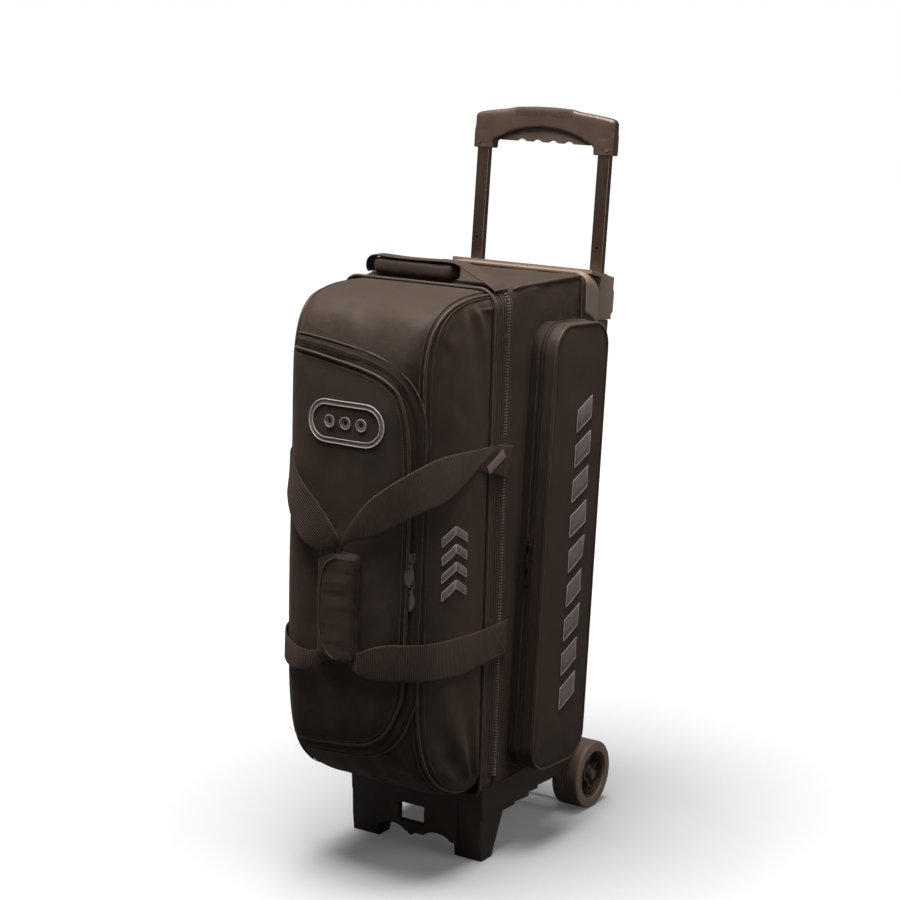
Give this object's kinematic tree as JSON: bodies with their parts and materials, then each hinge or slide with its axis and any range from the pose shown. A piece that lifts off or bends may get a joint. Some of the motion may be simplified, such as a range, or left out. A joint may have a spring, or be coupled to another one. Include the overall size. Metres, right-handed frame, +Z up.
{
  "type": "rolling bowling ball bag",
  "caption": "Upright rolling bowling bag: stacked ball compartment behind a fold-down door with a shoe pocket, side pocket, base with wheels and telescopic handle.",
  "frame": {"origin": "on the floor, under the middle of the whole bag's box, handle raised; the bag's own middle plane is at X = -0.017 and the door's piped seam at Y = -0.09375", "axes": "+X to the bag's right (the side pocket's side), +Y from the front door towards the wheels, +Z up"},
  "size_m": [0.29, 0.5375, 1.0272],
  "materials": {
    "fabric": "woven polyester, soft sheen",
    "webbing": "ribbed nylon webbing",
    "lining": "thin lining over foam",
    "tray_plastic": "moulded, fine texture",
    "grip_plastic": "moulded, satin",
    "soft_grip": "soft overmould",
    "tube": "anodised, dark satin",
    "steel": "plated",
    "nylon": "natural nylon",
    "tyre": "smooth urethane",
    "hub_plastic": "moulded",
    "zipper": "moulded coil on woven tape",
    "zip_metal": "dark plated"
  },
  "bodies": {
    "bag": {"base_tray": "tray_plastic", "base_screws": "steel", "axle": "steel", "axle_caps": "tray_plastic", "outer_tube_left": "tube", "outer_tube_right": "tube", "tube_bushes": "tray_plastic", "rear_housing": "tray_plastic", "housing_screws": "steel", "top_bracket": "tray_plastic", "bracket_screws": "steel", "side_panel_left": "fabric", "side_panel_right": "fabric", "top_panel": "fabric", "back_pad": "fabric", "floor_board": "lining", "ball_dividers": "lining", "main_zip_body": "zipper", "pocket_base": "fabric"},
    "wheel_left": {"tyre_left": "tyre", "hub_left": "hub_plastic", "wheel_bush_left": "nylon"},
    "wheel_right": {"tyre_right": "tyre", "hub_right": "hub_plastic", "wheel_bush_right": "nylon"},
    "handle": {"inner_tube_left": "tube", "inner_tube_right": "tube", "lock_housings": "nylon", "grip_front": "grip_plastic", "grip_rear": "grip_plastic", "grip_pad": "soft_grip", "grip_rivets": "steel", "lever_spring": "steel"},
    "lever": {"release_lever": "grip_plastic", "pull_rods": "steel"},
    "pin_left": {"lock_pin_left": "steel"},
    "pin_right": {"lock_pin_right": "steel"},
    "door": {"door_shell": "fabric", "door_back": "lining", "door_gusset": "fabric", "shoe_flap": "fabric", "main_zip_door": "zipper", "shoe_zip_tape": "zipper", "strap_right": "webbing", "strap_left": "webbing", "wrap_handle": "fabric"},
    "pocket_lid": {"pocket_lid": "fabric"},
    "shoe_slider_upper": {"shoe_slider_upper": "zip_metal"},
    "shoe_slider_lower": {"shoe_slider_lower": "zip_metal"},
    "shoe_pull_upper": {"shoe_pull_upper": "zip_metal"},
    "shoe_pull_lower": {"shoe_pull_lower": "zip_metal"},
    "main_slider": {"main_slider": "zip_metal"},
    "main_pull": {"main_pull": "zip_metal"},
    "pocket_slider_upper": {"pocket_slider_upper": "zip_metal"},
    "pocket_slider_lower": {"pocket_slider_lower": "zip_metal"},
    "pocket_pull_upper": {"pocket_pull_upper": "zip_metal"},
    "pocket_pull_lower": {"pocket_pull_lower": "zip_metal"},
    "top_handle": {"top_handle_pad": "fabric", "top_handle_web": "webbing"}
  },
  "joints": [
    {"name": "handle_slide", "type": "slide", "parent": "bag", "child": "handle", "axis": [0, 0.0698, 0.9976], "range_m": [-0.155, 0]},
    {"name": "release_squeeze", "type": "slide", "parent": "handle", "child": "lever", "axis": [0, 0.0698, 0.9976], "range_m": [0, 0.005], "deforming": ["lever_spring"]},
    {"name": "pin_retract_left", "type": "slide", "parent": "handle", "child": "pin_left", "axis": [0, 0.9976, -0.0698], "range_m": [0, 0.0025]},
    {"name": "pin_retract_right", "type": "slide", "parent": "handle", "child": "pin_right", "axis": [0, 0.9976, -0.0698], "range_m": [0, 0.0025]},
    {"name": "wheel_spin_left", "type": "hinge", "parent": "bag", "child": "wheel_left", "pos_m": [-0.1235, 0.21825, 0.0505], "axis": [1, 0, 0], "continuous": true},
    {"name": "wheel_spin_right", "type": "hinge", "parent": "bag", "child": "wheel_right", "pos_m": [0.0895, 0.21825, 0.0505], "axis": [1, 0, 0], "continuous": true},
    {"name": "door_swing", "type": "hinge", "parent": "bag", "child": "door", "pos_m": [-0.017, -0.07075, 0.1075], "axis": [1, 0, 0], "range_deg": [0, 50]},
    {"name": "pocket_lid_swing", "type": "hinge", "parent": "bag", "child": "pocket_lid", "pos_m": [0.121, 0.13195, 0.43176], "axis": [0, 0.0523, 0.9986], "range_deg": [0, 100]},
    {"name": "shoe_slider_upper_slide", "type": "slide", "parent": "door", "child": "shoe_slider_upper", "axis": [0, 0, 1], "range_m": [0, 0.06]},
    {"name": "shoe_slider_lower_slide", "type": "slide", "parent": "door", "child": "shoe_slider_lower", "axis": [0, 0, 1], "range_m": [-0.04, 0]},
    {"name": "shoe_pull_upper_swing", "type": "hinge", "parent": "shoe_slider_upper", "child": "shoe_pull_upper", "pos_m": [0.079, -0.24135, 0.467], "axis": [-1, 0, 0], "range_deg": [0, 110]},
    {"name": "shoe_pull_lower_swing", "type": "hinge", "parent": "shoe_slider_lower", "child": "shoe_pull_lower", "pos_m": [0.079, -0.24135, 0.433], "axis": [-1, 0, 0], "range_deg": [0, 80]},
    {"name": "main_slider_slide", "type": "slide", "parent": "bag", "child": "main_slider", "axis": [0, 0, 1], "range_m": [0, 0.12]},
    {"name": "main_pull_swing", "type": "hinge", "parent": "main_slider", "child": "main_pull", "pos_m": [-0.1406, -0.05575, 0.147], "axis": [0, 1, 0], "range_deg": [0, 110]},
    {"name": "pocket_slider_upper_slide", "type": "slide", "parent": "bag", "child": "pocket_slider_upper", "axis": [0, 0.0523, 0.9986], "range_m": [0, 0.22]},
    {"name": "pocket_slider_lower_slide", "type": "slide", "parent": "bag", "child": "pocket_slider_lower", "axis": [0, 0.0523, 0.9986], "range_m": [-0.22, 0]},
    {"name": "pocket_pull_upper_swing", "type": "hinge", "parent": "pocket_slider_upper", "child": "pocket_pull_upper", "pos_m": [0.121, -0.01497, 0.45046], "axis": [-1, 0, 0], "range_deg": [0, 110]},
    {"name": "pocket_pull_lower_swing", "type": "hinge", "parent": "pocket_slider_lower", "child": "pocket_pull_lower", "pos_m": [0.121, -0.01654, 0.4205], "axis": [-1, 0, 0], "range_deg": [0, 80]},
    {"name": "top_handle_swing", "type": "hinge", "parent": "bag", "child": "top_handle", "pos_m": [-0.017, -0.04475, 0.808], "axis": [1, 0, 0], "range_deg": [-110, 0]}
  ],
  "couplings": [
    {"joint": "pin_retract_left", "follows": "release_squeeze", "ratio": 0.5},
    {"joint": "pin_retract_right", "follows": "release_squeeze", "ratio": 0.5}
  ]
}
